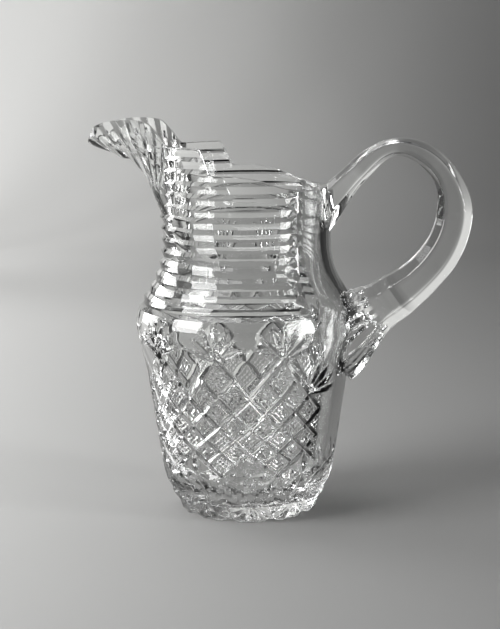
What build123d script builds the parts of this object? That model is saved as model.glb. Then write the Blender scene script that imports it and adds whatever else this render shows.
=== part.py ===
from build123d import *
import math
import os

# A cut glass water jug, in millimetres. The origin is the centre of the foot
# on the table, +Z is up, the handle is towards +X and the pouring lip
# towards -X. Angles round the jug start at the handle.

# Side of the body, from the table up: heights
foot_height = 10.0
waist_height = 19.5
base_height = 34.4
belly_height = 80.0
flank_height = 98.0
shoulder_height = 105.0
shoulder_edge_height = 112.0
collar_height = 119.0
throat_edge_height = 132.0
throat_height = 145.0
neck_height = 164.0

# Side of the body: outside radii at those heights
foot_radius = 38.2
foot_edge_radius = 42.3
waist_radius = 46.0
base_radius = 48.7
belly_radius = 55.6
flank_radius = 59.6
shoulder_radius = 60.4
shoulder_edge_radius = 59.0
collar_radius = 55.8
throat_edge_radius = 48.9
throat_radius = 46.0
neck_radius = 46.7
mouth_radius = 45.0

# Glass thickness
wall = 5.5
floor_thickness = 12.0
floor_flat_radius = 27.0
floor_edge_radius = 37.0
floor_edge_height = 17.0
foot_hollow = 1.2
foot_ring_width = 6.0

# Rim, which steps up from the handle to the lip
back_rim_height = 177.0
side_rim_height = 186.0
front_rim_height = 200.0
back_rim_reach = 30.0
step_foot_reach = 13.5
step_top_reach = 19.0

# Pouring lip, an open trough drawn out of the front rim
lip_reach = 86.0
lip_tip_height = 200.0
lip_peak_height = 214.0
lip_peak_reach = 63.0
lip_start_reach = 39.0
lip_rise_reach = 47.0
lip_rise_height = 209.3
lip_brow_reach = 74.0
lip_brow_height = 212.6
lip_nose_height = 206.5
lip_knee_reach = 60.0
lip_knee_height = 189.0
lip_root_height = 167.0
lip_hidden_depth = 22.0
lip_root_half_width = 23.0
lip_half_width = 20.0
lip_wall = 4.6
lip_rib_start = 46.0
lip_rib_pitch = 4.1
lip_rib_depth = 0.9
lip_rib_count = 7
lip_nose_sections = 3

# Level prism cuts round the neck
prism_pitch = 6.1
prism_depth = 1.3
prism_bottom = 105.0
prism_plain_half_angle = 48.0

# Diamonds left between crossed mitre cuts round the lower body
diamonds_round = 20
diamond_rows = 7
mitre_depth = 1.1
mitre_half_width = 1.6
mitre_span = 2
mitre_lap = 0.5
flats_proud = 0.02
diamond_plain_half_angle = 31.0

# Panels round the base, and the star under the foot
panel_count = 12
panel_top = 18.5
panel_depth = 1.0
notch_depth = 1.6
notch_half_width = 2.2
star_points = 16
star_depth = 0.9
star_half_width = 1.6

# Handle, one drawn bar of glass: the middle of the bar at eight places from
# its root on the neck to its pad on the shoulder, as reach and height
handle_root = (36.5, 158.0)
handle_rise = (61.5, 186.5)
handle_top = (80.0, 198.5)
handle_bend = (103.4, 189.0)
handle_side = (113.0, 162.0)
handle_return = (99.5, 134.5)
handle_arm = (76.5, 115.5)
handle_pad = (44.0, 94.0)

# The bar's thickness and width at the same places, and the widths of its
# outer and inner flats between the flattened corners
handle_thicknesses = (20.0, 12.6, 9.0, 12.6, 19.0, 20.0, 24.5, 50.0)
handle_widths = (36.0, 20.0, 20.0, 22.0, 23.0, 23.0, 25.0, 46.0)
outer_flats = (30.0, 11.0, 10.0, 11.0, 12.0, 12.0, 13.0, 14.0)
inner_flats = (8.0, 10.0, 10.0, 11.0, 12.0, 12.0, 13.0, 18.0)
corner_share = 0.23
handle_sections = 12
root_rim_rise = 5.0
seam = 0.04

# Ribs pinched into both sides of the pad
pad_rib_count = 4
pad_rib_first = 0.79
pad_rib_step = 0.05
pad_rib_depth = 1.4
pad_rib_half_width = 1.7

# How far cutting tools run past the glass, and the least they bite
beyond = 6.0
sharp_land = 0.12


def lower_corners(growth):
    """Corners of the side below the belly, where it is ground to flats, moved out by growth."""
    return [
        (foot_radius + growth, 0.0),
        (foot_edge_radius + growth, foot_height),
        (waist_radius + growth, waist_height),
        (base_radius + growth, base_height),
        (belly_radius + growth, belly_height),
    ]


def upper_corners(growth):
    """Corners of the side from the belly to above the rim, where it is round, moved out by growth."""
    return [
        (belly_radius + growth, belly_height),
        (flank_radius + growth, flank_height),
        (shoulder_radius + growth, shoulder_height),
        (shoulder_edge_radius + growth, shoulder_edge_height),
        (collar_radius + growth, collar_height),
        (throat_edge_radius + growth, throat_edge_height),
        (throat_radius + growth, throat_height),
        (neck_radius + growth, neck_height),
        (mouth_radius + growth, lip_peak_height + beyond),
    ]


def side_of(corners):
    """Straight stretches of the side from corner to corner."""
    return [Line(near, far) for near, far in zip(corners, corners[1:])]


outer_side = side_of(lower_corners(0.0)) + side_of(upper_corners(0.0))


def point_at(curve, measure, value):
    """Point of a curve where a rising measure of it has a value, found by halving."""
    low, high = 0.0, 1.0
    for _ in range(30):
        middle = 0.5 * (low + high)
        if measure(curve @ middle) < value:
            low = middle
        else:
            high = middle
    return curve @ low


def side_radius(height):
    """Outside radius of the body at a height."""
    for stretch in outer_side:
        if height <= (stretch @ 1).Y:
            return point_at(stretch, lambda point: point.Y, height).X
    return mouth_radius


def turned(outline, arc=360.0):
    """Turn of a closed outline drawn as radius and height."""
    return revolve(Plane.XZ * make_face(outline), Axis.Z, arc)


def around(radius, angle, height):
    """Point at a radius, an angle from the handle in degrees and a height."""
    turn = math.radians(angle)
    return Vector(radius * math.cos(turn), radius * math.sin(turn), height)


def mitre(start, end, outward, depth, half_width):
    """V-shaped cutting bar from start to end, its edge depth below that line."""
    along = (end - start).normalized()
    across = outward.cross(along).normalized()
    plane = Plane(origin=start, x_dir=across, z_dir=along)
    wide = half_width * (1.0 + beyond / depth)
    bar = make_face(Polyline((0, -depth), (wide, beyond), (-wide, beyond), close=True))
    return extrude(plane * bar, (end - start).length)


def ground_form(growth):
    """The lower body, grown by a margin, with flats between upright edges a column apart."""
    columns = 2 * diamonds_round
    to_flats = 1.0 / math.cos(math.pi / columns)
    corners = [(radius * to_flats + flats_proud, height) for radius, height in lower_corners(growth)]
    corners[-1] = (corners[-1][0], corners[-1][1] + growth)
    rings = [[around(radius, column * 360.0 / columns, height) for column in range(columns)] for radius, height in corners]
    faces = [Face(Wire.make_polygon(rings[0])), Face(Wire.make_polygon(rings[-1]))]
    for below, above in zip(rings, rings[1:]):
        for column in range(columns):
            after = (column + 1) % columns
            corner_points = [below[column], below[after], above[after], above[column]]
            faces.append(Face(Wire.make_polygon(corner_points)))
    return Solid(Shell(faces))


def blown_form(growth):
    """The body before it is hollowed or cut, grown by a margin: ground below, round above."""
    side = upper_corners(growth)
    top = side[-1][1]
    outline = Polyline((0.0, belly_height), *side, (0.0, top), close=True)
    return turned(outline) + ground_form(growth)


def water_room():
    """The hollow: a raised floor, a belly a wall's thickness in from its side and a straight neck."""
    neck_inside = throat_radius - wall
    outline = Polyline(
        (0.0, floor_thickness),
        (floor_flat_radius, floor_thickness),
        (floor_edge_radius, floor_edge_height),
        (base_radius - wall, base_height),
        (belly_radius - wall, belly_height),
        (shoulder_radius - wall, shoulder_height),
        (collar_radius - wall, collar_height),
        (throat_edge_radius - wall, throat_edge_height),
        (neck_inside, throat_height),
        (neck_inside, lip_peak_height + beyond),
        (0.0, lip_peak_height + beyond),
        close=True,
    )
    return turned(outline)


def foot_recess():
    """Shallow hollow under the foot, which leaves a ring to stand on."""
    return Pos(0, 0, -beyond) * Cylinder(
        foot_radius - foot_ring_width, foot_hollow + beyond, align=(Align.CENTER, Align.CENTER, Align.MIN)
    )


def prism_comb():
    """Saw-toothed outline turned round the neck, which leaves level prisms between its teeth."""
    count = int((front_rim_height - prism_bottom) / prism_pitch)
    teeth = [(side_radius(prism_bottom) + sharp_land, prism_bottom)]
    for index in range(count):
        valley = prism_bottom + (index + 0.5) * prism_pitch
        crest = prism_bottom + (index + 1.0) * prism_pitch
        teeth.append((side_radius(valley) - prism_depth, valley))
        teeth.append((side_radius(crest) - sharp_land, crest))
    top = teeth[-1][1]
    clear = shoulder_radius + beyond
    comb = Polyline(*teeth, (clear, top), (clear, prism_bottom), close=True)
    arc = 360.0 - 2.0 * prism_plain_half_angle
    return Rot(0, 0, prism_plain_half_angle) * turned(comb, arc)


def keel_height(reach):
    """Height of the lip's underside at a reach."""
    return point_at(lip_keel, lambda point: point.X, reach).Y


def lip_half_width_at(reach):
    """Half width of the lip, which narrows evenly from its root to its nose."""
    share = (reach - neck_radius) / (lip_reach - neck_radius)
    return lip_root_half_width + (lip_half_width - lip_root_half_width) * share


lip_keel = Spline(
    [
        (0.5 * lip_start_reach, lip_root_height - lip_hidden_depth),
        (neck_radius, lip_root_height),
        (lip_knee_reach, lip_knee_height),
        (lip_reach, lip_tip_height),
        (lip_reach + beyond, lip_tip_height + 0.4 * beyond),
    ]
)


def lip_section(reach, lift, narrowing):
    """One upright section of the trough: a half round with straight sides above it."""
    bottom = keel_height(reach) + lift
    half = lip_half_width_at(reach) - narrowing
    top = lip_peak_height + 2.0 * beyond
    spring = bottom + half
    outline = [
        ThreePointArc((half, spring), (0, bottom), (-half, spring)),
        Line((-half, spring), (-half, top)),
        Line((-half, top), (half, top)),
        Line((half, top), (half, spring)),
    ]
    return Plane(origin=(-reach, 0, 0), x_dir=(0, 1, 0), z_dir=(1, 0, 0)) * make_face(outline)


def lip_ribbed_outside():
    """The trough's outside: crests and valleys by turns under it, then a plain nose."""
    sections = [lip_section(0.55 * lip_start_reach, 0.0, 0.0)]
    for index in range(2 * lip_rib_count + 1):
        depth = lip_rib_depth * (index % 2)
        sections.append(lip_section(lip_rib_start + 0.5 * index * lip_rib_pitch, depth, depth))
    ribs_end = lip_rib_start + lip_rib_count * lip_rib_pitch
    nose_length = lip_reach + 0.8 * beyond - ribs_end
    for index in range(lip_nose_sections):
        reach = ribs_end + nose_length * (index + 1.0) / lip_nose_sections
        sections.append(lip_section(reach, 0.0, 0.0))
    return loft(sections, ruled=True)


def lip_channel():
    """The hollow of the trough, moved in and up from its outside by the lip's own wall."""
    first = 0.55 * lip_start_reach
    length = lip_reach + 0.8 * beyond - first
    reaches = [first + length * step / 6.0 for step in range(7)]
    hollow = loft([lip_section(reach, 0.0, lip_wall) for reach in reaches], ruled=True)
    return Pos(0.75 * lip_wall, 0, 0.65 * lip_wall) * hollow


def lip_plan():
    """Upright block that gives the lip its rounded nose, seen from above."""
    wide = lip_root_half_width + 1.0
    nose_start = lip_reach - wide
    outline = [
        Line((0, wide), (-nose_start, wide)),
        ThreePointArc((-nose_start, wide), (-lip_reach, 0), (-nose_start, -wide)),
        Line((-nose_start, -wide), (0, -wide)),
        Line((0, -wide), (0, wide)),
    ]
    return Pos(0, 0, throat_height) * extrude(make_face(outline), lip_peak_height)


def above_rim():
    """Everything above the rim line, which is drawn from the side and runs right across."""
    top = lip_peak_height + 4.0 * beyond
    far = shoulder_radius + beyond
    root_height = back_rim_height + root_rim_rise
    outline = [
        Line((far, root_height), (neck_radius, root_height)),
        Spline(
            [(neck_radius, root_height), (back_rim_reach, back_rim_height), (0, side_rim_height)],
            tangents=[(-1, -0.6), (-1, 0.0)],
        ),
        Line((0, side_rim_height), (-step_foot_reach, side_rim_height)),
        Line((-step_foot_reach, side_rim_height), (-step_top_reach, front_rim_height)),
        Line((-step_top_reach, front_rim_height), (-lip_start_reach, front_rim_height)),
        Spline(
            [
                (-lip_start_reach, front_rim_height),
                (-lip_rise_reach, lip_rise_height),
                (-lip_peak_reach, lip_peak_height),
                (-lip_brow_reach, lip_brow_height),
                (-lip_reach, lip_nose_height),
            ]
        ),
        Line((-lip_reach, lip_nose_height), (-lip_reach - beyond, lip_nose_height)),
        Line((-lip_reach - beyond, lip_nose_height), (-lip_reach - beyond, top)),
        Line((-lip_reach - beyond, top), (far, top)),
        Line((far, top), (far, root_height)),
    ]
    return extrude(Plane.XZ * make_face(outline), 2.0 * shoulder_radius, both=True)


def diamond_levels():
    """Heights where the crossed mitres meet; each step rises as far as it runs round."""
    half_turn = math.pi / diamonds_round
    levels = [waist_height]
    for _ in range(diamond_rows):
        levels.append(levels[-1] + half_turn * side_radius(levels[-1]))
    return levels


def crossing(row, column):
    """Place of a crossing of the mitres, on the outside of the body."""
    height = diamond_levels()[row]
    return around(side_radius(height), column * 180.0 / diamonds_round, height)


def diamond_cuts():
    """Crossed mitres, each a chain of straight bars, up to a zigzag edge and clear of the handle."""
    columns = 2 * diamonds_round
    bars = []
    for column in range(0, columns, 2):
        for lean in (-1, 1):
            row = 0
            while row < diamond_rows:
                span = mitre_span
                while span and not chain_fits(row, column, lean, span):
                    span -= 1
                if span:
                    start = crossing(row, column + lean * row)
                    end = crossing(row + span, column + lean * (row + span))
                    outward = around(1.0, (column + lean * (row + 0.5 * span)) * 180.0 / diamonds_round, 0.0)
                    lap = (end - start).normalized() * mitre_lap
                    bars.append(mitre(start - lap, end + lap, outward, mitre_depth, mitre_half_width))
                row += max(span, 1)
    return bars


def chain_fits(row, column, lean, span):
    """Whether a bar of this span stays inside the field of diamonds at both of its ends."""
    first = in_field(row, column + lean * row)
    last = row + span <= diamond_rows and in_field(row + span, column + lean * (row + span))
    return first and last


def in_field(row, column):
    """Whether a crossing lies below the zigzag upper edge and clear of the handle."""
    angle = (column * 180.0 / diamonds_round + 180.0) % 360.0 - 180.0
    if abs(angle) < diamond_plain_half_angle:
        return False
    place = (column + 1) % 4
    drop = (0, 1, 2, 1)[place]
    return row <= diamond_rows - 2 + drop


def panel_cuts():
    """Flat panels round the base, and a mitre between each pair."""
    cuts = []
    turn = 360.0 / panel_count
    low = side_radius(0.0)
    high = side_radius(panel_top)
    for index in range(panel_count):
        angle = (index + 0.5) * turn
        foot = around(low - panel_depth, angle, 0.0)
        head = around(high, angle, panel_top)
        slope = (head - foot).normalized()
        outward = (around(1.0, angle, 0.0) - slope * around(1.0, angle, 0.0).dot(slope)).normalized()
        plane = Plane(origin=foot - slope * beyond, x_dir=slope, z_dir=outward)
        slab = Rectangle(head.Z - foot.Z + 2.0 * beyond, 2.0 * foot_radius)
        cuts.append(extrude(plane * slab, beyond))
        start = around(low, index * turn, 0.0)
        end = around(high, index * turn, panel_top)
        cuts.append(mitre(start, end, around(1.0, index * turn, 0.0), notch_depth, notch_half_width))
    return cuts


def star_cuts():
    """Mitres that cross at the centre of the foot and make a star."""
    cuts = []
    for index in range(star_points // 2):
        angle = index * 360.0 / star_points
        end = around(foot_radius - foot_ring_width - 1.0, angle, foot_hollow)
        start = Vector(-end.X, -end.Y, end.Z)
        cuts.append(mitre(start, end, Vector(0, 0, -1), star_depth, star_half_width))
    return cuts


def pieces_of_bar():
    """Share of the bar's length at which each of its named places lies."""
    places = handle_places()
    reached = [0.0]
    for near, far in zip(places, places[1:]):
        reached.append(reached[-1] + math.dist(near, far))
    return [length / reached[-1] for length in reached]


def handle_places():
    """The named places along the middle of the bar, root first."""
    return [
        handle_root,
        handle_rise,
        handle_top,
        handle_bend,
        handle_side,
        handle_return,
        handle_arm,
        handle_pad,
    ]


def eased(values, shares, share):
    """Value at a share of the bar's length, eased from one named place to the next."""
    for index in range(len(shares) - 1):
        if share <= shares[index + 1]:
            part = (share - shares[index]) / (shares[index + 1] - shares[index])
            part = part * part * (3.0 - 2.0 * part)
            return values[index] + (values[index + 1] - values[index]) * part
    return values[-1]


def bar_plane(path, share):
    """Plane square to the bar, its x along the mirror plane's normal and its y outwards."""
    middle = path @ share
    along = path % share
    return Plane(origin=(middle.X, 0, middle.Y), x_dir=(0, 1, 0), z_dir=(along.X, 0, along.Y))


def bar_section(path, shares, share):
    """Eight-sided section of the bar: two sides, outer and inner flats and four corners."""
    half_thick = 0.5 * eased(handle_thicknesses, shares, share)
    half_wide = 0.5 * eased(handle_widths, shares, share)
    outer_half = 0.5 * eased(outer_flats, shares, share)
    inner_half = 0.5 * eased(inner_flats, shares, share)
    side_half = half_thick * (1.0 - 2.0 * corner_share)
    outline = Polyline(
        (half_wide, side_half),
        (outer_half, half_thick),
        (-outer_half, half_thick),
        (-half_wide, side_half),
        (-half_wide, -side_half),
        (-inner_half, -half_thick),
        (inner_half, -half_thick),
        (half_wide, -side_half),
        close=True,
    )
    return bar_plane(path, share) * make_face(outline)


def pad_rib_cuts(path, shares):
    """Grooves pinched across both sides of the bar where it spreads into the pad."""
    cuts = []
    for index in range(pad_rib_count):
        share = pad_rib_first + index * pad_rib_step
        plane = bar_plane(path, share)
        half_wide = 0.5 * eased(handle_widths, shares, share)
        reach = 0.5 * eased(handle_thicknesses, shares, share) + beyond
        for side in (-1.0, 1.0):
            outward = plane.x_dir * side
            start = plane.origin + outward * half_wide - plane.y_dir * reach
            end = plane.origin + outward * half_wide + plane.y_dir * reach
            cuts.append(mitre(start, end, outward, pad_rib_depth, pad_rib_half_width))
    return cuts


def make_handle():
    """The drawn bar, lofted through its sections and seated a seam away from the body."""
    path = Spline(handle_places())
    shares = pieces_of_bar()
    count = handle_sections
    bar = loft([bar_section(path, shares, step / count) for step in range(count + 1)], ruled=True)
    bar = bar - pad_rib_cuts(path, shares)
    return bar - blown_form(seam)


def make_body():
    """The blown body with its lip, hollowed, stepped at the rim and cut all over."""
    body = blown_form(0.0) - prism_comb()
    body = body + (lip_ribbed_outside() & lip_plan())
    body = body - water_room()
    body = body - lip_channel()
    body = body - above_rim()
    body = body - foot_recess()
    body = body - panel_cuts()
    body = body - star_cuts()
    return body - diamond_cuts()


os.makedirs("parts", exist_ok=True)
export_step(make_body(), "parts/jug_body.step")
export_step(make_handle(), "parts/handle.step")
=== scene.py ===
# %% [markdown]
# # A cut glass water jug
# The real jug is one thick blown body, cut all over on a wheel, and one drawn bar
# of hot glass that was pressed on for a handle. There is nothing else: no lid, no
# collar and no hinge. So there are two pieces here, and they stand for the two
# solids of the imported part, in the same frame and at the same size.

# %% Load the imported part
import math

import bpy
import numpy as np
from mathutils import Matrix, Vector


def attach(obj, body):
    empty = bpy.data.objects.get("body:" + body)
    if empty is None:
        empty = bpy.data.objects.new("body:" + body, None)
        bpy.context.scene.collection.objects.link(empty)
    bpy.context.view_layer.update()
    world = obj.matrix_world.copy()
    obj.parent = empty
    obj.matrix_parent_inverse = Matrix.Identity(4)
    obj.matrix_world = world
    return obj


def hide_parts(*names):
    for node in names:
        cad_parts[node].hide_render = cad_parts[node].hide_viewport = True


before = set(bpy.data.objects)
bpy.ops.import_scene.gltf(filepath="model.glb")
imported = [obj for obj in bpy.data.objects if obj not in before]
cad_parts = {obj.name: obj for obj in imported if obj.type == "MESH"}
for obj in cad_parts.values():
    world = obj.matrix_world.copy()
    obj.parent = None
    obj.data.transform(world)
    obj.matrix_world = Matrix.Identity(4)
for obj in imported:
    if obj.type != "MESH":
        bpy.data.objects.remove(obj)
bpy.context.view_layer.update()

# %% [markdown]
# ## The side of the body
# Before it was cut, the body was round. Its side could be a spline curve that is
# spun, but the cuts need a radius at every height, so the side is a function: a
# smooth line through a few heights and radii. Lengths are in millimetres until a
# mesh is made.

# %% The side of the body
millimetre = 0.001
# Each pair is a height and the outside radius there, from the foot to above the rim.
side_places = np.array(
    [
        (0.0, 38.2), (10.0, 42.3), (19.5, 46.0), (34.4, 48.7), (50.0, 51.0), (65.0, 53.3),
        (80.0, 55.6), (90.0, 57.9), (98.0, 59.6), (105.0, 60.4), (112.0, 59.0), (119.0, 55.8),
        (125.0, 52.3), (132.0, 48.9), (138.0, 47.0), (145.0, 46.0), (154.0, 46.0), (164.0, 46.7),
        (180.0, 46.4), (200.0, 45.4), (225.0, 44.6),
    ]
)


def smooth_line(at, places, values):
    """Values at some places: a cubic between each two given places, with the slope of its neighbours."""
    places = np.asarray(places, float)
    values = np.asarray(values, float)
    slopes = np.gradient(values, places)
    index = np.clip(np.searchsorted(places, at) - 1, 0, len(places) - 2)
    gap = places[index + 1] - places[index]
    t = (at - places[index]) / gap
    return (
        values[index] * (1 + 2 * t) * (1 - t) ** 2
        + slopes[index] * gap * t * (1 - t) ** 2
        + values[index + 1] * t * t * (3 - 2 * t)
        + slopes[index + 1] * gap * t * t * (t - 1)
    )


def body_radius(height):
    """Outside radius of the uncut body at a height."""
    return smooth_line(height, side_places[:, 0], side_places[:, 1])


foot_edge = float(body_radius(0.0))
print("widest", side_places[:, 1].max(), "mm, foot", foot_edge, "mm in radius")

# %% [markdown]
# ## From rings to a mesh
# Every form here is a tube: a stack of closed rings with a flat cap at each end.
# Its quads are split into triangles, and every other one is split the other way.
# A cut that climbs at 45 degrees on the grid then runs along edges, so it stays
# as straight and keen as the wheel made it. If the rings wind the wrong way
# round, they are turned, so that the faces point outwards.

# %% From rings to a mesh
def tube_mesh(name, rings):
    """Closed mesh of a stack of rings, given as rows x columns x 3 in millimetres.

    The sum of each ring's area vector times the step to the next ring is the volume's sign."""
    rows, cols = rings.shape[:2]
    spokes = rings - rings.mean(1, keepdims=True)
    areas = 0.5 * np.cross(spokes, np.roll(spokes, -1, 1)).sum(1)
    steps = np.gradient(rings.mean(1), axis=0)
    if (areas * steps).sum() < 0.0:
        rings = rings[:, ::-1]
    i, j = np.meshgrid(np.arange(rows - 1), np.arange(cols), indexing="ij")
    k = (j + 1) % cols
    a, b, c, d = i * cols + j, i * cols + k, (i + 1) * cols + k, (i + 1) * cols + j
    even = ((i + j) % 2 == 0)[..., None]
    first = np.where(even, np.stack([a, b, c], -1), np.stack([a, b, d], -1))
    second = np.where(even, np.stack([a, c, d], -1), np.stack([b, c, d], -1))
    triangles = np.concatenate([first.reshape(-1, 3), second.reshape(-1, 3)])
    caps = [list(range(cols))[::-1], list(range((rows - 1) * cols, rows * cols))]
    mesh = bpy.data.meshes.new(name)
    mesh.from_pydata(rings.reshape(-1, 3) * millimetre, [], triangles.tolist() + caps)
    mesh.validate()
    mesh.update()
    return mesh


def make_object(name, mesh):
    """Object of a mesh at the origin, linked to the scene."""
    made = bpy.data.objects.new(name, mesh)
    bpy.context.scene.collection.objects.link(made)
    return made


def tube(name, rings):
    """Object of a stack of rings."""
    return make_object(name, tube_mesh(name, rings))


def round_rings(radii, heights, points):
    """Level circles, each of its own radius and height, with a number of points round them."""
    turn = np.linspace(0.0, 2.0 * math.pi, points + 1)[:-1]
    heights = np.repeat(heights[:, None], points, 1)
    return np.stack([radii[:, None] * np.cos(turn), radii[:, None] * np.sin(turn), heights], -1)

# %% [markdown]
# ## Joining and cutting forms
# The lip, the hollow and the rim meet the body along lines that would be hard to
# work out by hand. The Boolean modifier finds them. Its manifold solver needs
# closed forms, which all of these are, and is quick with fine meshes. The result
# is applied at once, so that no tool is left in the scene.

# %% Joining and cutting forms
def combine(target, tool, operation):
    """Joins a tool to a target or cuts it away, applies the result and removes the tool."""
    change = target.modifiers.new(operation.lower(), "BOOLEAN")
    change.operation = operation
    change.solver = "MANIFOLD"
    change.object = tool
    bpy.context.view_layer.update()
    ready = target.evaluated_get(bpy.context.evaluated_depsgraph_get())
    result = bpy.data.meshes.new_from_object(ready)
    target.modifiers.clear()
    old = target.data
    target.data = result
    bpy.data.meshes.remove(old)
    tool_mesh = tool.data
    bpy.data.objects.remove(tool)
    bpy.data.meshes.remove(tool_mesh)
    print(operation, "->", target.name, len(result.polygons), "faces")

# %% [markdown]
# ## The wheel's cuts
# A cutter's wheel has a V edge, so each cut has two plane sides and a keen valley.
# A cut is written as a depth that falls off evenly from its middle line, and a
# pattern is the deepest of its cuts at each point. Two sorts of fan are used:
# one has cuts like leaves, which taper at both ends, and one is like a shell,
# with cuts that widen until they meet.

# %% The wheel's cuts
leaf_fullness = 0.8
shell_easing = 0.45
shell_end = 0.86


def ramp(value, low, high):
    """Rises smoothly from 0 at low to 1 at high."""
    t = np.clip((value - low) / (high - low), 0.0, 1.0)
    return t * t * (3.0 - 2.0 * t)


def vee(distance, depth, half_width):
    """Depth of a V-shaped cut at a distance from its middle line."""
    return depth * np.clip(1.0 - distance / half_width, 0.0, None)


def leaves(across, up, angles, reach, depth, half_width):
    """Depth of V cuts that leave a point like leaves: each swells like half a sine wave along its reach."""
    total = np.zeros_like(across)
    for angle in np.radians(angles):
        along = across * np.sin(angle) + up * np.cos(angle)
        aside = np.abs(across * np.cos(angle) - up * np.sin(angle))
        swell = np.sin(math.pi * np.clip(along / reach, 0.0, 1.0) ** leaf_fullness)
        total = np.maximum(total, depth * np.clip(swell - aside / half_width, 0.0, None))
    return total


def shell(across, up, angles, reach, slope, spread):
    """Depth of V cuts that leave a point and deepen by a slope, eased towards the edge of a circle."""
    total = np.zeros_like(across)
    for angle in np.radians(angles):
        along = across * np.sin(angle) + up * np.cos(angle)
        aside = np.abs(across * np.cos(angle) - up * np.sin(angle))
        deep = slope * np.clip(np.clip(along, 0.0, None) - aside / spread, 0.0, None)
        deep = deep * (1.0 - shell_easing * along / reach)
        total = np.maximum(total, deep * (1.0 - ramp(along, shell_end * reach, reach)))
    return total

# %% [markdown]
# ## The field of diamonds
# Round the belly, mitres cross at 45 degrees and leave rows of diamonds, and each
# diamond has a crosshatch of finer cuts. The field ends in a zigzag above and
# below. It stops short of the handle, where a wheel couldn't reach. The pattern
# counts in half columns of 9 degrees and in levels up the side, so that all its
# cuts follow the grid's diagonals. The levels grow a little further apart as the
# body widens.

# %% The field of diamonds
columns = 400
diamonds_round = 20
steps_per_diamond = 10
level_heights = [28.3, 34.8, 41.2, 47.9, 55.0, 62.8, 71.3, 81.3, 92.3]
top_level = 8.0
half_column = 180.0 / diamonds_round
zigzag_columns = 4.0
zigzag_levels = 2.0
zigzag_turn = zigzag_columns * half_column
main_depth = 1.7
main_steps = 3.0
fine_depth = 0.5
fine_steps = 2.0
plain_half_angle = 36.0
plain_blend = 1.5
side_fan_angle = 45.0


def from_handle(angle):
    """Degrees round from the handle, from 0 at the handle to 180 at the lip."""
    return np.abs((angle + 180.0) % 360.0 - 180.0)


def diamond_depth(angle, level):
    """Depth of the crossed mitres, and where a point lies outside the zigzag edges.

    Column plus level and column minus level count along the two diagonals. The mitres lie where
    these are odd, and the finer cuts lie at every fourth grid step between them."""
    column = angle * diamonds_round / 180.0
    period = 2 * steps_per_diamond
    main = 0.0
    fine = 0.0
    for way in (column - level, column + level):
        way = (way - 1.0) * steps_per_diamond
        off = np.abs((way + 0.5 * period) % period - 0.5 * period)
        main = np.maximum(main, main_depth * np.clip(1.0 - off / main_steps, 0.0, 1.0))
        off = np.abs((way + fine_steps) % (2.0 * fine_steps) - fine_steps)
        fine = np.maximum(fine, fine_depth * (1.0 - off / fine_steps))
    from_peak = np.abs((column + 1.0) % zigzag_columns - zigzag_levels)
    under_peak = np.where(from_handle(angle) < side_fan_angle, zigzag_levels, from_peak)
    outside = np.maximum(level - top_level + under_peak, from_peak - level) * steps_per_diamond
    edge = main_depth * np.clip(1.0 - np.abs(outside) / main_steps, 0.0, 1.0)
    return np.where(outside <= 0.0, np.maximum(main, fine), edge), outside > 0.0


print("field from", level_heights[0], "to", level_heights[-1], "mm, peaks", zigzag_turn, "degrees apart")

# %% [markdown]
# ## The fans over the field
# A fan of seven leaves stands on each peak of the zigzag. At each end of the
# field, a fan of five longer leaves opens towards the handle. They could be cut
# with leaf-shaped tools, but so many Booleans are slow, and a depth taken off the
# grid gives the same V. Both are measured in millimetres on the surface, from the
# point where their leaves meet.

# %% The fans over the field
peak_fan = {"angles": (-68, -45, -22, 0, 22, 45, 68), "reach": 19.0, "depth": 1.7, "half_width": 1.6}
side_fan = {"angles": (-12, 10, 32, 54, 76), "reach": 20.0, "depth": 1.8, "half_width": 2.4}
side_fan_level = 6
side_fan_room = 4.0


def arc_length(height):
    """Millimetres round the side for one degree, at a height."""
    return np.radians(1.0) * body_radius(height)


def from_peak_angle(angle):
    """Degrees round from the nearest peak of the zigzag, less than nothing on one side."""
    return (angle - half_column + 0.5 * zigzag_turn) % zigzag_turn - 0.5 * zigzag_turn


def fan_depth(angle, height):
    """Depth of the fans over the peaks of the field, and of the two that open towards the handle."""
    arc = arc_length(height)
    upper = leaves(from_peak_angle(angle) * arc, height - level_heights[-1], **peak_fan)
    to_handle = (side_fan_angle - from_handle(angle)) * arc
    aside = leaves(height - level_heights[side_fan_level], to_handle, **side_fan)
    return np.where(from_handle(angle) < side_fan_angle + side_fan_room, aside, upper)

# %% [markdown]
# ## The base
# The base is ground to ten flat panels with a mitre between each two. Shells hang
# under the field, two for each panel, and one smaller shell is cut in each of the
# ten lobes of the foot. Between the lobes the foot's edge lifts off the table.
# The flats come from the distance to a plane: a radius divided by the cosine of
# the angle from the panel's middle.

# %% The base
panel_top = 28.0
panel_flat_top = 10.54
panel_depth = 1.5
notch_depth = 1.2
notch_half_width = 1.5
notch_fade = 4.0
notch_growth = 1.2
lobe_lift = 3.0
lobe_half_width = 5.0
lobe_height = 9.0
hanging_fan = {"angles": (-90, -45, 0, 45, 90), "reach": 22.0, "slope": 0.23, "spread": 0.41}
lobe_fan = {"angles": (-45, 0, 45), "reach": 30.0, "slope": 0.16, "spread": 0.41}
kite = {"angles": (0,), "reach": 13.0, "depth": 1.5, "half_width": 2.6}


def from_panel_angle(angle):
    """Degrees round from the middle of a panel, less than nothing on one side."""
    return (angle - half_column) % zigzag_turn - 0.5 * zigzag_turn


def base_depth(angle, height):
    """Depth of the flat panels, which grows from nothing at their top, and of the mitre between each two."""
    radius = body_radius(height)
    off = np.radians(from_panel_angle(angle))
    share = np.clip((panel_top - height) / (panel_top - panel_flat_top), 0.0, 1.0)
    flat = np.clip(radius - (radius - panel_depth * share) / np.cos(off), 0.0, None)
    edge = (math.radians(0.5 * zigzag_turn) - np.abs(off)) * radius
    deeper = 1.0 + notch_growth * np.clip(1.0 - height / lobe_height, 0.0, 1.0)
    notch = vee(edge, notch_depth, notch_half_width) * ramp(panel_top - height, 0.0, notch_fade) * deeper
    return flat, notch


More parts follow.
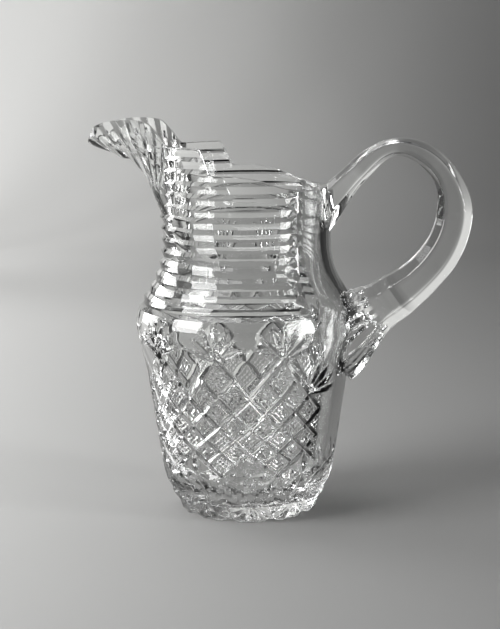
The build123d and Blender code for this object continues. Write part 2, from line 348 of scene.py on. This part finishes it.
def foot_fan_depth(angle, height):
    """Depth of the shells under the field, of a kite in each gap above and of the foot's small shells."""
    arc = arc_length(height)
    from_centre = angle % (2.0 * half_column) - half_column
    below = level_heights[0] - height
    hanging = shell(from_centre * arc, below, **hanging_fan)
    small = shell(from_panel_angle(angle) * arc, panel_flat_top - height, **lobe_fan)
    above = leaves(from_centre * arc, -below, **kite)
    return np.maximum(np.where(height > panel_flat_top, hanging, small), above)


def lobe_rise(angle):
    """How far the foot's edge lifts off the table: a V, highest half way between two lobes."""
    off = np.abs(from_peak_angle(angle)) * np.radians(1.0) * foot_edge
    return vee(off, lobe_lift, lobe_half_width)


print("panels", int(360.0 / zigzag_turn), "hanging fans", diamonds_round)

# %% [markdown]
# ## The prisms of the neck
# Level cuts run round the neck one above the other, so that only ridges are left
# between them. One side of each is steeper than the other, which gives a broad
# bright facet and a narrow dark one. They could be spun as one saw-toothed
# profile, but spun rings wouldn't run out before the handle, as these do. So they
# are a wave of depth up the neck, like the other cuts.

# %% The prisms of the neck
prism_bottom = 112.7
prism_pitch = 6.2
prism_depth = 1.8
prism_valley = 0.36
prism_count = 15
prism_plain_angle = 50.0
prism_run_out = 3.0


def prism_cut(angle, height):
    """Depth of the prism cuts: a saw wave up the neck, which fades towards the handle."""
    place = (height - prism_bottom) / prism_pitch
    share = place % 1.0
    saw = np.where(share < prism_valley, share / prism_valley, (1.0 - share) / (1.0 - prism_valley))
    low, high = prism_plain_angle - prism_run_out, prism_plain_angle + prism_run_out
    return np.where(place > 0.0, prism_depth * saw * ramp(from_handle(angle), low, high), 0.0)


print("prisms from", prism_bottom, "to", round(prism_bottom + prism_count * prism_pitch, 1), "mm")

# %% [markdown]
# ## Under the foot
# The jug stands on a narrow ring round a shallow recess. The recess has a star of
# V cuts that cross at its middle, as such jugs often have. Wedges could cut it,
# but the underside is part of the same tube as the side, so each of its rings
# only needs a height that rises where a cut crosses it.

# %% Under the foot
foot_hollow = 1.2
foot_ring_width = 6.0
star_points = 16
star_depth = 0.6
star_half_width = 1.6
star_middle = 0.4
star_inside = 2.0
star_margin = 1.5
star_rows = 15
recess_margin = 0.6
recess_bevel = 0.3


def star_rings(angle):
    """Radius and heights of each ring of the underside, from its middle out to the ring that it stands on."""
    inner = foot_edge - foot_ring_width
    radii = np.concatenate([[star_middle], np.linspace(star_inside, inner - star_margin, star_rows)])
    turn = 2.0 * math.pi / star_points
    off = (np.radians(angle) + 0.5 * turn) % turn - 0.5 * turn
    rings = []
    for radius in radii:
        depth = vee(np.abs(np.sin(off)) * radius, star_depth, star_half_width)
        rings.append((np.full_like(angle, radius), foot_hollow + depth))
    recess_edge = [(inner - recess_margin, foot_hollow), (inner, foot_hollow - recess_bevel)]
    foot_ring = [(inner + recess_bevel, 0.0), (inner + 0.5 * foot_ring_width, 0.0)]
    for radius, height in recess_edge + foot_ring:
        lift = lobe_rise(angle) * np.clip((radius - inner) / foot_ring_width, 0.0, 1.0)
        rings.append((np.full_like(angle, radius), height + lift))
    return rings

# %% [markdown]
# ## The rows of the grid
# The grid is fine where the cuts are. Each level of the field has ten rows, as
# each half column has ten columns, and the rows above and below are about as far
# apart as the columns. Each prism has rows on its ridge, in its valley and on its
# broad side. An even grid would be simpler, but its edges would miss the cuts and
# blur them. The number of rows under the field has to be even as well, or the
# split of the quads would run across the mitres and not along them.

# %% The rows of the grid
foot_row = 0.74
foot_edge_rows = (0.0, 0.5)
foot_rows_start = 1.0
shoulder_row = 0.92
shoulder_gap = 0.3
foot_level_height = 6.5
shoulder_level_height = 10.0
above_all_levels = 20.0

angles = np.arange(columns) * 360.0 / columns
rows_down = np.arange(level_heights[0] - foot_row, foot_rows_start, -foot_row)
foot_rows = np.concatenate([foot_edge_rows, rows_down[::-1]])
field_levels = np.arange(int(top_level) * steps_per_diamond + 1) / steps_per_diamond
field_rows = smooth_line(field_levels, np.arange(len(level_heights)), level_heights)
shoulder_rows = np.arange(level_heights[-1] + shoulder_row, prism_bottom - shoulder_gap, shoulder_row)
prism_rows = []
for number in range(prism_count):
    for share in (0.0, prism_valley, 0.5 + 0.5 * prism_valley):
        prism_rows.append(prism_bottom + (number + share) * prism_pitch)
side_rows = np.concatenate([foot_rows, field_rows, shoulder_rows, prism_rows])
levels = np.concatenate(
    [
        (foot_rows - level_heights[0]) / foot_level_height,
        field_levels,
        top_level + (shoulder_rows - level_heights[-1]) / shoulder_level_height,
        np.full(len(prism_rows), above_all_levels),
    ]
)
print("grid", len(side_rows), "rows x", columns, "columns")

# %% [markdown]
# ## The cut body
# All cuts are taken off the radius at once, on the whole grid. Where two cuts
# meet, the deeper one wins, as it does under a wheel. The lowest row is drawn in
# by half a millimetre, which is the polished edge of the foot.

# %% The cut body
foot_bevel = 0.5
middle_level = 4.0

angle_grid, height_grid = np.meshgrid(angles, side_rows)
level_grid = np.repeat(levels[:, None], columns, 1)
in_field = ramp(from_handle(angle_grid), plain_half_angle - plain_blend, plain_half_angle + plain_blend)
diamonds, outside = diamond_depth(angle_grid, level_grid)
flat, notch = base_depth(angle_grid, height_grid)
over_field = outside & (level_grid > middle_level) & (height_grid < prism_bottom)
over = np.where(over_field, fan_depth(angle_grid, height_grid), 0.0)
hang = np.where(outside & (level_grid < middle_level), foot_fan_depth(angle_grid, height_grid), 0.0)
cut = np.maximum(diamonds * in_field * (level_grid >= 0.0), np.maximum(over, hang + flat))
cut = np.maximum(np.maximum(cut, notch), prism_cut(angle_grid, height_grid))
bevel = np.where(height_grid < foot_rows[1], foot_bevel, 0.0)
radius = body_radius(height_grid) - cut - bevel
lifted = height_grid + lobe_rise(angle_grid) * np.clip(1.0 - height_grid / lobe_height, 0.0, 1.0)
side_x = radius * np.cos(np.radians(angle_grid))
side_y = radius * np.sin(np.radians(angle_grid))
side = np.stack([side_x, side_y, lifted], -1)
under = []
for ring_radius, ring_height in star_rings(angles):
    ring_x = ring_radius * np.cos(np.radians(angles))
    ring_y = ring_radius * np.sin(np.radians(angles))
    under.append(np.stack([ring_x, ring_y, ring_height], -1))
rings = np.concatenate([np.array(under), side])
# The star's innermost ring is left out when the rows under the field are odd in number.
if (len(under) + len(foot_rows)) % 2:
    rings = rings[1:]
body = tube("jug_body_glass", rings)
print("cut side", rings.shape, "deepest cut", round(float(cut.max()), 2), "mm")

# %% [markdown]
# ## The pouring lip
# The lip was drawn out of the hot front rim. It is a trough: a half round carried
# along a keel line, with upright sides. Its outside has flutes that fan out from
# the place where the keel leaves the neck, so their depth follows the angle seen
# from that place. It could be pulled out of the rim by sculpting, but a formula
# keeps its wall even. The channel inside is the same trough, a wall smaller, a
# little higher and smooth.

# %% The pouring lip
# Each pair is a reach towards the lip and the keel's height there.
keel_places = np.array(
    [
        (30.0, 130.0), (40.0, 152.0), (46.5, 167.0), (50.0, 175.5), (54.5, 183.5), (60.0, 189.5),
        (66.0, 192.3), (71.0, 193.8), (78.6, 197.2), (84.5, 200.2), (90.0, 203.5),
    ]
)
lip_root_reach = 46.6
lip_reach = 86.0
lip_half_root = 23.0
lip_half_nose = 19.5
lip_wall = 4.6
lip_lean = 0.12
channel_lift = 1.0
trough_top = 235.0
lip_reaches = np.linspace(20.0, 100.0, 124)
lip_points = (49, 28)
channel_reaches = np.linspace(18.0, 104.0, 44)
channel_points = (33, 5)
flute_pivot = (44.0, 168.0)
flute_first = 22.0
flute_turn = 8.5
flute_count = 10
flute_depth = 1.5
flute_fade = (5.0, 18.0)


def flute_depth_at(reach, height):
    """Depth of the flutes: an even V wave of the angle seen from the pivot, which fades in from there."""
    along = np.hypot(reach - flute_pivot[0], height - flute_pivot[1])
    angle = np.degrees(np.arctan2(height - flute_pivot[1], reach - flute_pivot[0]))
    share = (angle - flute_first) / flute_turn
    wave = 1.0 - np.abs(2.0 * (share % 1.0) - 1.0)
    inside = (share > 0.0) & (share < flute_count)
    return np.where(inside, flute_depth * wave * ramp(along, *flute_fade), 0.0)


def trough(reaches, inset, round_points, rise_points, fluted):
    """Rings of the trough at some reaches: a half round over the keel with upright sides, less an inset."""
    bottom = smooth_line(reaches, keel_places[:, 0], keel_places[:, 1])[:, None]
    half = np.interp(reaches, [lip_root_reach, lip_reach], [lip_half_root, lip_half_nose])[:, None] - inset
    turn = np.linspace(-0.5 * math.pi, 0.5 * math.pi, round_points)[None, :]
    share = np.linspace(1.0, 0.0, rise_points)[None, :]
    rise = share[:, :-1] * (trough_top - bottom - half)
    back = (1.0 - share[:, 1:]) * (trough_top - bottom - half)
    level = bottom + half
    z = np.concatenate([level + rise, level - half * np.cos(turn), level + back], 1)
    across = np.concatenate([-np.ones_like(rise), np.sin(turn) * np.ones_like(half), np.ones_like(back)], 1)
    lift = np.concatenate([np.zeros_like(rise), np.cos(turn) * np.ones_like(half), np.zeros_like(back)], 1)
    x = reaches[:, None] + lip_lean * (z - bottom)
    depth = flute_depth_at(x, z) if fluted else np.zeros_like(x)
    return np.stack([-x, (half - depth) * across, z + depth * lift], -1)


lip = tube("lip", trough(lip_reaches, 0.0, *lip_points, True))
channel_rings = trough(channel_reaches, lip_wall, *channel_points, False)
channel = tube("channel", channel_rings + np.array([0.0, 0.0, channel_lift]))
print("lip's wall", lip_wall, "mm,", flute_count, "flutes")

# %% [markdown]
# ## The lip's nose
# Seen from above, the lip ends in a round nose. An upright block with a rounded
# end is laid over the trough, and what both share is kept. The trough then joins
# the body.

# %% The lip's nose
nose_length = 27.0
nose_margin = 1.0
nose_points = 61
nose_heights = (146.0, 240.0)


def nose_block():
    """Rings of the block: half an ellipse at the nose, with straight sides back to the jug's middle."""
    wide = lip_half_root + nose_margin
    turn = np.linspace(0.0, math.pi, nose_points)
    nose_x = -(lip_reach - nose_length) - nose_length * np.sin(turn)
    nose_y = wide * np.cos(turn)
    outline_x = np.concatenate([[0.0], nose_x, [0.0]])
    outline_y = np.concatenate([[wide], nose_y, [-wide]])
    return np.stack([np.stack([outline_x, outline_y, np.full_like(outline_x, z)], -1) for z in nose_heights])


combine(lip, tube("nose", nose_block()), "INTERSECT")
combine(body, lip, "UNION")

# %% [markdown]
# ## The hollow
# The inside is smooth, because only the outside is cut. A Solidify modifier could
# give the body a wall, but it would carry the cuts through to the inside. So the
# hollow is a form of its own: the uncut side moved in by the wall, over a thick
# floor that rounds up into it.

# %% The hollow
wall = 5.5
floor_thickness = 12.0
floor_corner = 17.0
floor_places = (0.5, 8.0, 16.0)
corner_points = 14
hollow_top = 232.0
hollow_rows = 64
hollow_columns = 96


def hollow_rings():
    """Rings of the hollow: a flat floor, a quarter round, and then the side moved in by the wall."""
    start = float(body_radius(floor_thickness + floor_corner)) - wall
    turn = np.linspace(0.0, 0.5 * math.pi, corner_points)
    corner_r = start - floor_corner + floor_corner * np.sin(turn)
    corner_z = floor_thickness + floor_corner - floor_corner * np.cos(turn)
    rise_z = np.linspace(floor_thickness + floor_corner, hollow_top, hollow_rows)[1:]
    rise_r = body_radius(rise_z) - wall
    radii = np.concatenate([floor_places, corner_r, rise_r])
    heights = np.concatenate([np.full(len(floor_places), floor_thickness), corner_z, rise_z])
    return round_rings(radii, heights, hollow_columns)


combine(body, tube("hollow", hollow_rings()), "DIFFERENCE")
combine(body, channel, "DIFFERENCE")

# %% [markdown]
# ## The rim
# From the side, the rim is low by the handle, steps up in front of it and rises
# to the lip. The maker cut it right across, so one block that lies above this
# line, and reaches past both sides, takes it all off at once. The line's corners
# are rounded by two passes of a running mean.

# %% The rim
# Each pair is a place from the lip, at the left, to the handle and the rim's height there.
rim_places = np.array(
    [
        (-95.0, 203.0), (-87.5, 204.5), (-85.6, 206.2), (-83.0, 208.2), (-79.0, 210.6), (-74.0, 212.6),
        (-68.0, 213.7), (-63.0, 214.0), (-57.0, 213.9), (-51.5, 213.2), (-48.5, 211.6), (-46.0, 209.0),
        (-43.0, 205.4), (-40.5, 201.8), (-39.0, 200.2), (-37.0, 200.0), (-20.5, 200.0), (-19.0, 199.2),
        (-13.5, 186.8), (-12.0, 186.0), (0.0, 186.0), (12.0, 184.0), (24.0, 179.4), (32.0, 177.4),
        (40.0, 177.0), (46.0, 178.5), (70.0, 182.0),
    ]
)
rim_spans = ((-95.0, -20.5, 140), (-20.5, -12.0, 24), (-12.0, 70.0, 90))
rim_block_half = 70.0
rim_block_top = 250.0
rounding_passes = 2


def above_rim():
    """Rings of the block above the rim: rectangles across the jug, whose underside follows the rim line."""
    x = np.concatenate([[rim_spans[0][0]]] + [np.linspace(*span)[1:] for span in rim_spans])
    z = np.interp(x, rim_places[:, 0], rim_places[:, 1])
    for _ in range(rounding_passes):
        z[1:-1] = 0.25 * z[:-2] + 0.5 * z[1:-1] + 0.25 * z[2:]
    top = np.full_like(z, rim_block_top)
    near, far = np.full_like(x, -rim_block_half), np.full_like(x, rim_block_half)
    corners = [(near, z), (near, top), (far, top), (far, z)]
    return np.stack([np.stack([x, y, height], -1) for y, height in corners], 1)


combine(body, tube("above_rim", above_rim()), "DIFFERENCE")

# %% [markdown]
# ## The handle's path and section
# The handle is one drawn bar. It leaves the neck under the rim, rises above it,
# turns over and comes down to a pad on the shoulder. Its middle line is a spline
# through eight places, and its thickness and width are eased from each place to
# the next. A tapered curve with a bevel could make a round bar, but this one is
# eight-sided with softened edges, so its rings are worked out.

# %% The handle's path and section
# Each row is a place's x and z, the bar's thickness and width, and its outer and inner flat.
handle_table = np.array(
    [
        (36.5, 158.0, 20.0, 36.0, 30.0, 8.0),
        (61.5, 186.5, 12.6, 20.0, 11.0, 10.0),
        (80.0, 198.5, 9.0, 20.0, 10.0, 10.0),
        (103.0, 189.0, 12.6, 22.0, 11.0, 11.0),
        (112.0, 162.0, 19.0, 23.0, 12.0, 12.0),
        (99.5, 134.5, 20.0, 23.0, 12.0, 12.0),
        (76.5, 115.5, 24.5, 25.0, 13.0, 13.0),
        (44.0, 94.0, 50.0, 46.0, 14.0, 18.0),
    ]
)


def spline(places, at):
    """Natural cubic spline through rows of numbers, read at shares of its length."""
    gaps = np.linalg.norm(np.diff(places, axis=0), axis=1)
    knots = np.concatenate([[0.0], np.cumsum(gaps)])
    count = len(knots)
    matrix = np.zeros((count, count))
    right = np.zeros((count, places.shape[1]))
    matrix[0, 0] = matrix[-1, -1] = 1.0
    for i in range(1, count - 1):
        matrix[i, i - 1 : i + 2] = gaps[i - 1], 2.0 * (gaps[i - 1] + gaps[i]), gaps[i]
        right[i] = 6.0 * ((places[i + 1] - places[i]) / gaps[i] - (places[i] - places[i - 1]) / gaps[i - 1])
    bend = np.linalg.solve(matrix, right)
    x = at * knots[-1]
    i = np.clip(np.searchsorted(knots, x) - 1, 0, count - 2)
    a = ((knots[i + 1] - x) / gaps[i])[:, None]
    b = 1.0 - a
    bulge = ((a**3 - a) * bend[i] + (b**3 - b) * bend[i + 1]) * (gaps[i] ** 2)[:, None] / 6.0
    return a * places[i] + b * places[i + 1] + bulge, knots / knots[-1]


def eased(values, knots, at):
    """Values eased from each named place to the next."""
    i = np.clip(np.searchsorted(knots, at) - 1, 0, len(knots) - 2)
    t = (at - knots[i]) / (knots[i + 1] - knots[i])
    t = t * t * (3.0 - 2.0 * t)
    return values[i] + (values[i + 1] - values[i]) * t

# %% [markdown]
# ## The handle's rings
# Each ring has eight corners, rounded by short curves, and a few points along each
# face. Near the pad these points are pressed in by turns, which leaves flutes
# along the bar. One shallow groove goes across both sides where the pad begins.

# %% The handle's rings
stations = 220
corner_share = 0.23
corner_reach = 0.9
corner_reach_share = 0.3
groove_at = 0.79
groove_span = 0.038
groove_keenness = 2.2
groove_depth = 0.7
pad_flute_share = 0.13
pad_flutes_from = 0.85
pad_flutes_ease = 0.05
face_points = 5


def section_corners(at, knots):
    """The eight corners of each section, as a place across the bar and one outwards, less a V groove."""
    thick, wide, outer, inner = (0.5 * eased(handle_table[:, column], knots, at) for column in (2, 3, 4, 5))
    off = (at - groove_at) / groove_span
    wide = wide - np.clip(1.0 - np.abs(off) * groove_keenness, 0.0, 1.0) * groove_depth
    side = thick * (1.0 - 2.0 * corner_share)
    outside_half = [(wide, side), (outer, thick), (-outer, thick), (-wide, side)]
    inside_half = [(-wide, -side), (-inner, -thick), (inner, -thick), (wide, -side)]
    return np.stack([np.stack(corner, -1) for corner in outside_half + inside_half], 1)


def towards(corners, others):
    """Points a short way from each corner towards another."""
    step = others - corners
    length = np.linalg.norm(step, axis=-1, keepdims=True)
    return corners + step / length * np.minimum(corner_reach, corner_reach_share * length)


def handle_rings():
    """Rings of the bar: each corner is a short quadratic curve, and each face is straight or fluted."""
    at = np.linspace(0.0, 1.0, stations)
    middle, knots = spline(handle_table[:, :2], at)
    along = np.gradient(middle, axis=0)
    along /= np.linalg.norm(along, axis=1)[:, None]
    outward = np.stack([-along[:, 1], along[:, 0]], -1)
    corners = section_corners(at, knots)
    start = towards(corners, np.roll(corners, 1, 1))
    end = towards(corners, np.roll(corners, -1, 1))
    points = []
    for t in (0.0, 0.25, 0.5, 0.75, 1.0):
        points.append(start * (1 - t) ** 2 + corners * 2 * t * (1 - t) + end * t * t)
    next_start = np.roll(start, -1, 1)
    pressed = ramp(at, pad_flutes_from, pad_flutes_from + pad_flutes_ease)[:, None, None]
    pressed = 1.0 - pad_flute_share * pressed
    for number in range(1, face_points + 1):
        t = number / (face_points + 1.0)
        points.append((end * (1 - t) + next_start * t) * (pressed if number % 2 else 1.0))
    ring = np.stack(points, 2).reshape(stations, -1, 2)
    x = middle[:, None, 0] + outward[:, None, 0] * ring[..., 1]
    z = middle[:, None, 1] + outward[:, None, 1] * ring[..., 1]
    return np.stack([x, ring[..., 0], z], -1)


handle = tube("handle_glass", handle_rings())
print("handle", stations, "rings of", 8 * (5 + face_points), "points")

# %% [markdown]
# ## Seating the handle
# The bar's ends are sunk in the body, and the uncut round body, a seam larger, is
# cut away from them. The handle then stops a hair short of the body and doesn't
# lie inside it, where the light would meet two surfaces in one place. On the real
# jug the two are fused.

# %% Seating the handle
seam = 0.05
seat_heights = (60.0, 215.0)
seat_rows = 120

seat_z = np.linspace(*seat_heights, seat_rows)
combine(handle, tube("blank", round_rings(body_radius(seat_z) + seam, seat_z, columns)), "DIFFERENCE")

# %% [markdown]
# ## Glass
# This is clear lead glass with a trace of grey. It is polished in the cuts, and
# the drawn handle keeps faint waves from being worked hot. A Principled shader
# with full transmission makes it. Low bumps on Object coordinates make the waves,
# and the same noise varies the polish a little. Edges that are keener than an
# angle stay keen, and the rest is shaded smooth.

# %% Glass
glass_colour = (0.97, 0.975, 0.97, 1.0)
lead_glass_index = 1.54
wave_height = 0.001
wave_detail = 2.0
polish_range = 3.0


def glass(name, wave_scale, wave_strength, roughness):
    """Clear glass: full transmission, faint waves and a polish that varies over them."""
    made = bpy.data.materials.new(name)
    made.use_nodes = True
    nodes, links = made.node_tree.nodes, made.node_tree.links
    shader = nodes["Principled BSDF"]
    shader.inputs["Base Color"].default_value = glass_colour
    shader.inputs["IOR"].default_value = lead_glass_index
    shader.inputs["Transmission Weight"].default_value = 1.0
    place = nodes.new("ShaderNodeTexCoord")
    noise = nodes.new("ShaderNodeTexNoise")
    noise.inputs["Scale"].default_value = wave_scale
    noise.inputs["Detail"].default_value = wave_detail
    links.new(place.outputs["Object"], noise.inputs["Vector"])
    bump = nodes.new("ShaderNodeBump")
    bump.inputs["Strength"].default_value = wave_strength
    bump.inputs["Distance"].default_value = wave_height
    links.new(noise.outputs["Fac"], bump.inputs["Height"])
    links.new(bump.outputs["Normal"], shader.inputs["Normal"])
    polish = nodes.new("ShaderNodeMapRange")
    polish.inputs["To Min"].default_value = roughness
    polish.inputs["To Max"].default_value = roughness * polish_range
    links.new(noise.outputs["Fac"], polish.inputs["Value"])
    links.new(polish.outputs["Result"], shader.inputs["Roughness"])
    return made


def dress(piece, material, keen_angle):
    """Gives a piece its material and smooth shading that breaks at edges keener than an angle in degrees."""
    piece.data.materials.clear()
    piece.data.materials.append(material)
    piece.data.polygons.foreach_set("use_smooth", np.ones(len(piece.data.polygons), bool))
    piece.data.set_sharp_from_angle(angle=math.radians(keen_angle))
    piece.data.calc_loop_triangles()
    print(piece.name, len(piece.data.loop_triangles), "triangles of", material.name)


dress(body, glass("cut_glass", 60.0, 0.10, 0.006), 28.0)
dress(handle, glass("drawn_glass", 45.0, 0.25, 0.005), 20.0)

# %% [markdown]
# ## Riding on the frame
# Nothing on the jug moves, so both pieces ride on its one body. Each takes the
# place of its plain solid and names the sort of glass that it is made of.

# %% Riding on the frame
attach(body, "root")
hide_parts("jug_body")
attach(handle, "root")
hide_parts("handle")

# %% [markdown]
# ## The floor and backdrop
# Glass has no look of its own and shows what stands round it. The floor is a sheet
# that curves up behind the jug, so there is no corner to be seen. Its colour
# passes from pale on the left to grey on the right, which gives each facet its
# own tone: painted light on the left and painted shade on the right, as the
# window's light falls off across the sheet. In the glass, the sheet is seen at
# its own colour and not in the jug's shadow, because Cycles doesn't light a
# floor through thick glass well.

# %% The floor and backdrop
# Painted light and shade: the sheet is pale where the window's light falls on the left, and grey as painted
# shade on the right.
painted_lit_left = (0.76, 0.76, 0.745, 1.0)
painted_shade_right = (0.13, 0.13, 0.128, 1.0)
shade_start = -0.85
shade_end = 0.35
matt_roughness = 0.9
seen_in_glass = 1.0


def matt(name, colour):
    """Matt material of one colour."""
    made = bpy.data.materials.new(name)
    made.use_nodes = True
    shader = made.node_tree.nodes["Principled BSDF"]
    shader.inputs["Base Color"].default_value = colour
    shader.inputs["Roughness"].default_value = matt_roughness
    return made


def painted_light_to_shade(nodes, links):
    """Socket with a colour that eases from the painted light on the left to the painted shade on the right
    along the object's X.
    """
    place = nodes.new("ShaderNodeTexCoord")
    split = nodes.new("ShaderNodeSeparateXYZ")
    links.new(place.outputs["Object"], split.inputs["Vector"])
    share = nodes.new("ShaderNodeMapRange")
    share.interpolation_type = "SMOOTHSTEP"
    share.inputs["From Min"].default_value = shade_start
    share.inputs["From Max"].default_value = shade_end
    links.new(split.outputs["X"], share.inputs["Value"])
    mix = nodes.new("ShaderNodeMix")
    mix.data_type = "RGBA"
    mix.inputs["A"].default_value = painted_lit_left
    mix.inputs["B"].default_value = painted_shade_right
    links.new(share.outputs["Result"], mix.inputs["Factor"])
    return mix.outputs["Result"]


def sweep_material():
    """Matt colour graded from painted light to painted shade, which glossy and transmission rays see as a
    plain glow of the same colour.
    """
    made = matt("floor", painted_lit_left)
    nodes, links = made.node_tree.nodes, made.node_tree.links
    colour = painted_light_to_shade(nodes, links)
    links.new(colour, nodes["Principled BSDF"].inputs["Base Color"])
    glow = nodes.new("ShaderNodeEmission")
    glow.inputs["Strength"].default_value = seen_in_glass
    links.new(colour, glow.inputs["Color"])
    path = nodes.new("ShaderNodeLightPath")
    either = nodes.new("ShaderNodeMath")
    either.operation = "MAXIMUM"
    links.new(path.outputs["Is Glossy Ray"], either.inputs[0])
    links.new(path.outputs["Is Transmission Ray"], either.inputs[1])
    blend = nodes.new("ShaderNodeMixShader")
    links.new(either.outputs["Value"], blend.inputs["Fac"])
    links.new(nodes["Principled BSDF"].outputs["BSDF"], blend.inputs[1])
    links.new(glow.outputs["Emission"], blend.inputs[2])
    links.new(blend.outputs["Shader"], nodes["Material Output"].inputs["Surface"])
    return made


def floor_sweep():
    """Sheet that runs flat under the jug and curves up behind it: its profile carried along X, in metres."""
    front, back, bend, high, half_wide = -3.0, 1.1, 0.8, 3.0, 3.5
    turn = np.linspace(0.0, 0.5 * math.pi, 24)
    y = np.concatenate([[front], back + bend * np.sin(turn), [back + bend]])
    z = np.concatenate([[0.0], bend - bend * np.cos(turn), [high]])
    grid = np.stack([np.stack([np.full_like(y, x), y, z], -1) for x in (-half_wide, half_wide)], 1)
    faces = [(2 * i, 2 * i + 1, 2 * i + 3, 2 * i + 2) for i in range(len(y) - 1)]
    mesh = bpy.data.meshes.new("floor")
    mesh.from_pydata(grid.reshape(-1, 3), [], faces)
    mesh.polygons.foreach_set("use_smooth", np.ones(len(faces), bool))
    return make_object("floor", mesh)


floor = floor_sweep()
floor.data.materials.append(sweep_material())
print("floor", len(floor.data.polygons), "strips")

# %% [markdown]
# ## Lights and dark cards
# Cut glass is lit as in a studio for glass. A tall soft window stands in front on
# the left, and its reflection makes the white blocks on the neck. Dark cards
# stand round the jug, outside the picture, and the edges of the cuts pick them
# up as the thin dark lines that draw the pattern.

# %% Lights and dark cards
middle = (0.0, 0.0, 0.12)
card_colour = (0.02, 0.02, 0.02, 1.0)
room_colour = (0.50, 0.50, 0.51, 1.0)
room_strength = 0.35
# Each light has a name, a place, a width, a height and a power.
lights = [
    ("window", (-1.08, -0.68, 0.70), 0.8, 1.2, 33.0),
    ("sky", (-0.5, 0.4, 1.9), 1.4, 1.2, 16.0),
    ("left_wall", (-1.5, 0.75, 0.5), 0.8, 1.0, 12.0),
    ("side", (1.2, -0.36, 0.25), 0.26, 0.7, 11.0),
]
# Each card has a name, a place, a width and a height.
cards = [
    ("dark_behind_right", (0.56, 0.72, 0.30), 0.5, 0.9),
    ("dark_behind_left", (-0.62, 0.80, 0.30), 0.10, 0.9),
    ("dark_right", (0.80, 0.32, 0.35), 0.42, 0.9),
    ("dark_right_front", (0.75, -0.62, 0.35), 0.42, 0.9),
    ("dark_left", (-0.95, 0.05, 0.3), 0.16, 0.7),
    ("dark_front", (0.35, -1.5, 0.35), 1.0, 0.9),
]


def facing_middle(centre, front):
    """Placement at a centre, turned so that an axis of the thing points at the jug's middle."""
    direction = Vector(middle) - Vector(centre)
    return Matrix.Translation(centre) @ direction.to_track_quat(front, "Y").to_matrix().to_4x4()


def soft_light(name, centre, width, height, power):
    """Rectangular area light that faces the jug."""
    light = bpy.data.lights.new(name, "AREA")
    light.shape = "RECTANGLE"
    light.size, light.size_y = width, height
    light.energy = power
    made = bpy.data.objects.new(name, light)
    made.matrix_world = facing_middle(centre, "-Z")
    bpy.context.scene.collection.objects.link(made)


def dark_card(name, centre, width, height, material):
    """Flat panel that faces the jug."""
    x, z = 0.5 * width, 0.5 * height
    mesh = bpy.data.meshes.new(name)
    mesh.from_pydata([(-x, -z, 0), (x, -z, 0), (x, z, 0), (-x, z, 0)], [], [(0, 1, 2, 3)])
    mesh.transform(facing_middle(centre, "Z"))
    mesh.materials.append(material)
    made = make_object(name, mesh)


for light in lights:
    soft_light(*light)
black = matt("dark_card", card_colour)
for card in cards:
    dark_card(*card, black)
world = bpy.data.worlds.new("room")
bpy.context.scene.world = world
world.use_nodes = True
world.node_tree.nodes["Background"].inputs["Color"].default_value = room_colour
world.node_tree.nodes["Background"].inputs["Strength"].default_value = room_strength
bpy.context.scene.view_settings.view_transform = "Standard"
print(len(lights), "lights and", len(cards), "cards")

# %% [markdown]
# ## Camera
# A long lens a little above the jug, turned 8 degrees towards the handle side and
# tilted down at the belly. Its distance and length came from matching the jug's
# foot, rim and shoulder to the picture.

# %% Camera
camera_lens = 87.57
camera_sensor = 36.0
camera_nearest = 0.01
camera_distance = 0.827
camera_height = 0.247
camera_side = math.radians(8.0)
camera_pitch = math.radians(9.6)
camera_roll = math.radians(0.55)
camera_yaw = 0.0021

data = bpy.data.cameras.new("camera")
data.lens = camera_lens
data.sensor_width = camera_sensor
data.clip_start = camera_nearest
camera = bpy.data.objects.new("camera", data)
bpy.context.scene.collection.objects.link(camera)
spin = Matrix.Rotation(camera_side - camera_yaw, 4, "Z")
spin = spin @ Matrix.Rotation(0.5 * math.pi - camera_pitch, 4, "X") @ Matrix.Rotation(-camera_roll, 4, "Z")
place = (camera_distance * math.sin(camera_side), -camera_distance * math.cos(camera_side), camera_height)
camera.matrix_world = Matrix.Translation(place) @ spin
bpy.context.scene.camera = camera
print("camera at", [round(value, 3) for value in place])
